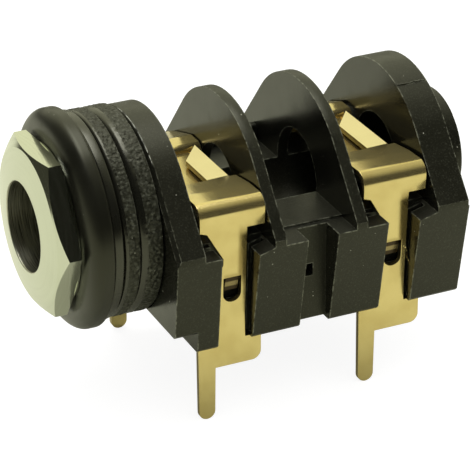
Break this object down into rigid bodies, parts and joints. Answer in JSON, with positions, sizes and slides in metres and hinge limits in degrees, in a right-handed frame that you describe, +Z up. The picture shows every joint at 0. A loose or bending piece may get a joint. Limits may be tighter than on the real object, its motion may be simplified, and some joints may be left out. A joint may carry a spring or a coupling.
{
  "type": "mono jack socket",
  "caption": "Board-mounted mono jack socket with an open finned housing, folded gold contacts and a screwed bush nut that clamps it to a panel.",
  "frame": {"origin": "on the plug bore's axis, in the plane of the housing flange's front face", "axes": "+X runs along the plug bore from its mouth toward the closed rear end, +Z is up from the circuit board, -Y is the near side in the picture"},
  "size_m": [0.0325, 0.0192, 0.0219],
  "materials": {
    "housing": "moulded, satin",
    "chrome": "turned and plated, polished",
    "washer": "smooth, low gloss",
    "ring": "rough, pitted",
    "contact": "rolled strip, gold plated"
  },
  "bodies": {
    "socket": {"housing": "housing", "thin_washer": "washer", "spacer_ring_front": "ring", "spacer_ring_rear": "ring", "sleeve_contact": "contact", "sleeve_switch_contact": "contact", "tip_contact": "contact", "tip_switch_contact": "contact"},
    "washer": {"dished_washer": "washer"},
    "nut": {"bush_nut": "chrome"}
  },
  "joints": [
    {"name": "nut_travel", "type": "slide", "parent": "socket", "child": "washer", "axis": [-1, 0, 0], "range_m": [0, 0.006]},
    {"name": "nut_turn", "type": "hinge", "parent": "washer", "child": "nut", "pos_m": [0, 0, 0], "axis": [-1, 0, 0], "range_deg": [0, 2160]}
  ],
  "couplings": [
    {"joint": "nut_turn", "follows": "nut_travel", "rad_per_m": 6283.2}
  ]
}
